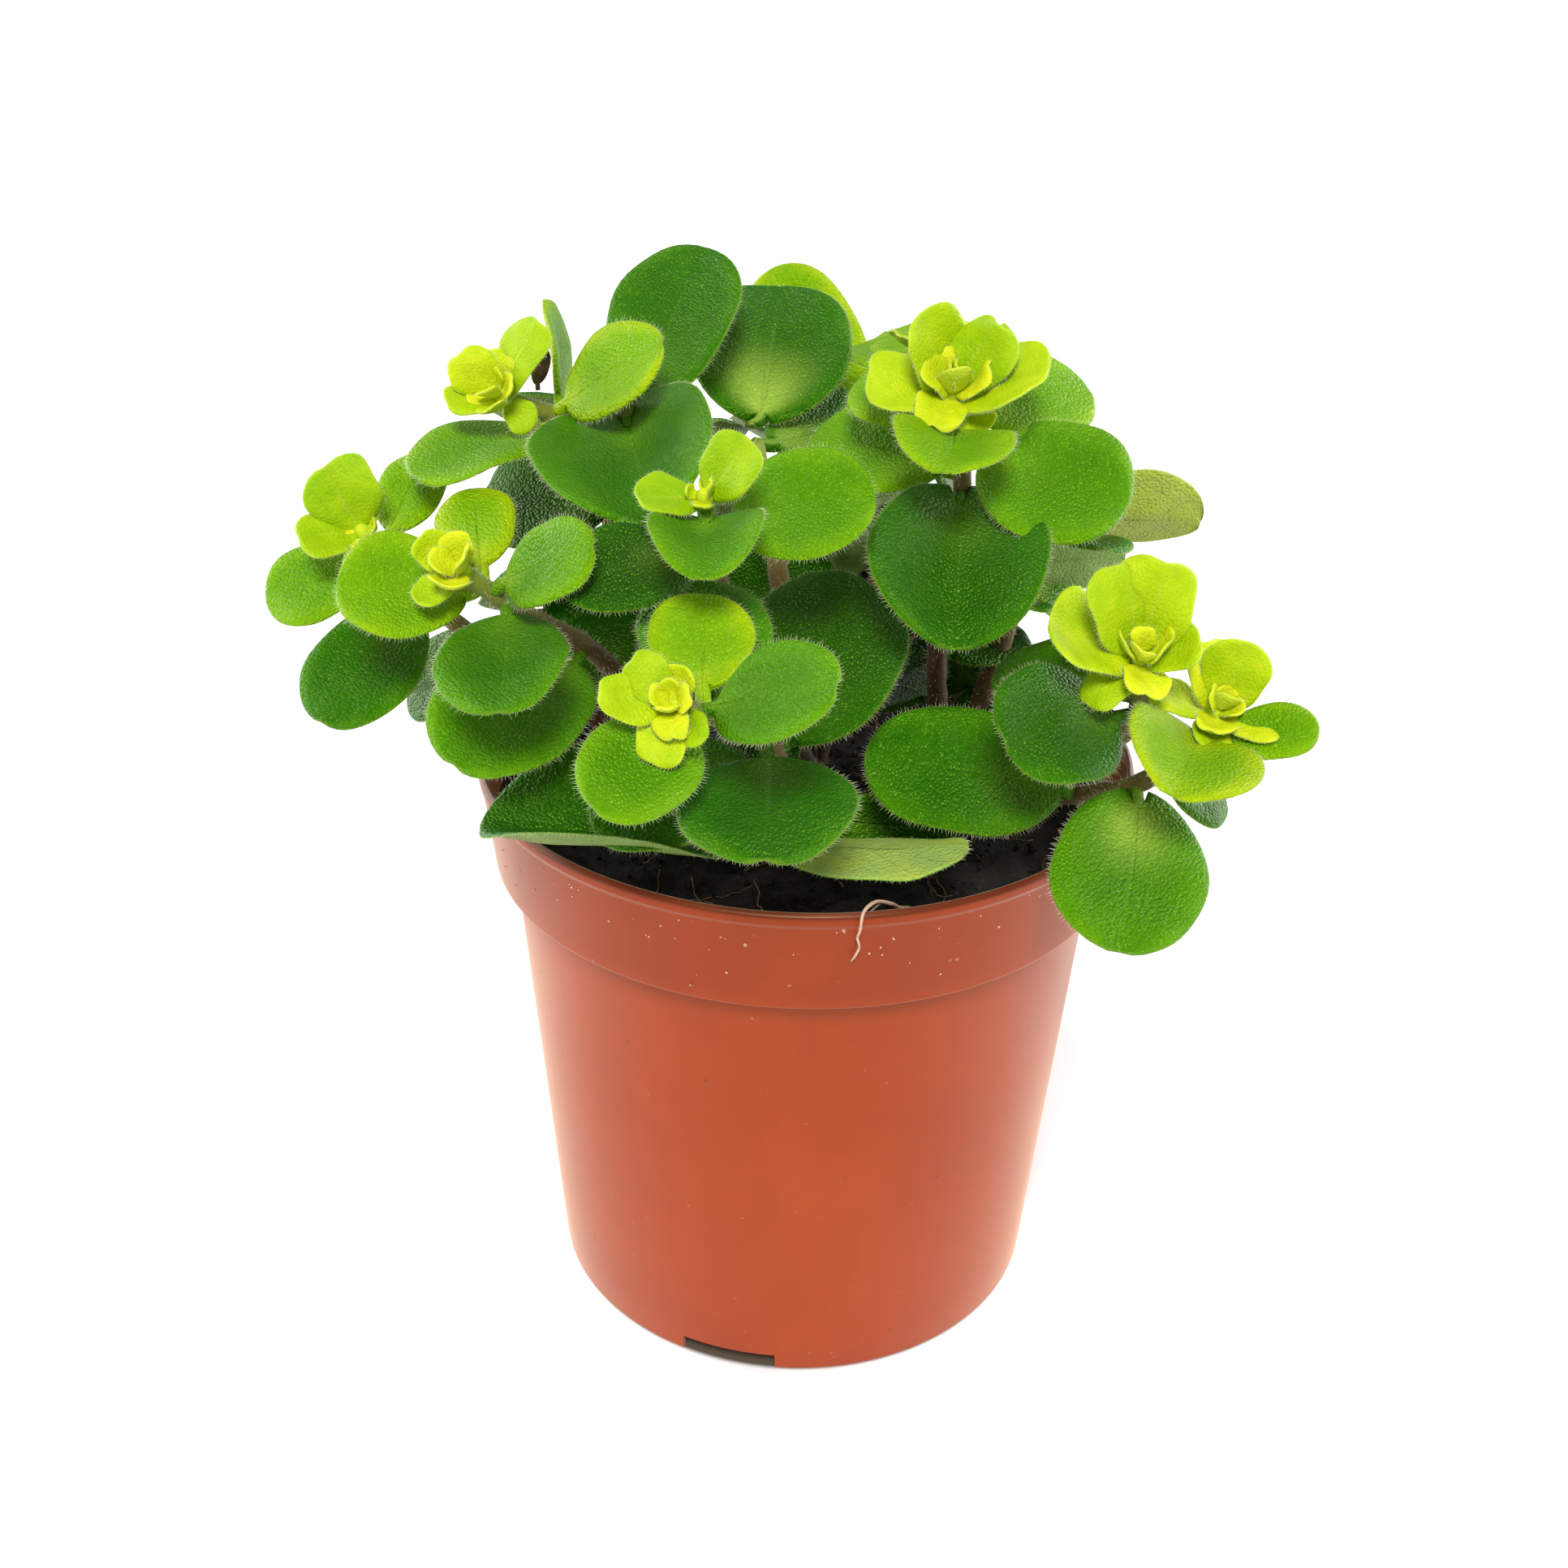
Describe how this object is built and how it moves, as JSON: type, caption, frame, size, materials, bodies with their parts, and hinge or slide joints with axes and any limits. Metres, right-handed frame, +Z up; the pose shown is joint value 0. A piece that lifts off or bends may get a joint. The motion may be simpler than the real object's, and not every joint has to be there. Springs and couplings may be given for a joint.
{
  "type": "potted plant",
  "caption": "Small potted peperomia with thick round fleshy leaves on short branching stems in a tapered plastic nursery pot filled with dark soil.",
  "frame": {"origin": "middle of the pot's foot, on the surface it stands on, on the pot's axis", "axes": "+Z up along the pot's axis; -Y towards the side that the plant faces; +X to the right seen from that side"},
  "size_m": [0.1322, 0.1018, 0.1422],
  "materials": {
    "terracotta_plastic": "satin",
    "peat": "matte",
    "stem": "matte",
    "leaf": "satin",
    "young_leaf": "satin"
  },
  "bodies": {
    "root": {"leaf_back_right_1": "leaf", "leaf_broken_1": "leaf", "leaf_broken_2": "leaf", "leaf_centre_front_1": "leaf", "leaf_centre_front_2": "leaf", "leaf_centre_front_3": "leaf", "leaf_front_1": "leaf", "leaf_front_2": "leaf", "leaf_front_3": "leaf", "leaf_front_4": "leaf", "leaf_front_5": "leaf", "leaf_front_6": "leaf", "leaf_front_7": "leaf", "leaf_left_front_1": "leaf", "leaf_left_front_2": "leaf", "leaf_left_front_3": "leaf", "leaf_left_front_4": "leaf", "leaf_left_front_5": "leaf", "leaf_left_outer_1": "leaf", "leaf_left_outer_2": "leaf", "leaf_left_outer_3": "leaf", "leaf_low_front_1": "leaf", "leaf_low_front_2": "leaf", "leaf_pair_back_1": "leaf", "leaf_pair_back_2": "leaf", "leaf_pair_back_left_1": "leaf", "leaf_pair_back_left_2": "leaf", "leaf_pair_back_left_3": "leaf", "leaf_pair_right_back_1": "leaf", "leaf_pair_right_back_2": "leaf", "leaf_right_back_1": "leaf", "leaf_right_front_1": "leaf", "leaf_right_outer_1": "leaf", "leaf_right_outer_2": "leaf", "leaf_right_outer_3": "leaf", "leaf_right_outer_4": "leaf", "leaf_top_1": "leaf", "leaf_top_2": "leaf", "leaf_upper_left_1": "leaf", "leaf_upper_left_2": "leaf", "leaf_upper_left_3": "leaf", "leaf_upper_right_1": "leaf", "leaf_upper_right_2": "leaf", "leaf_upper_right_3": "leaf", "leaf_upper_right_4": "leaf", "leaf_upper_right_5": "leaf", "leaf_upper_right_6": "leaf", "pot": "terracotta_plastic", "soil": "peat", "stems_left": "stem", "stems_middle": "stem", "stems_right": "stem", "tip_centre_front": "young_leaf", "tip_front": "young_leaf", "tip_left_front": "young_leaf", "tip_left_outer": "young_leaf", "tip_right_front": "young_leaf", "tip_right_outer": "young_leaf", "tip_upper_left": "young_leaf", "tip_upper_right": "young_leaf"}
  },
  "joints": []
}
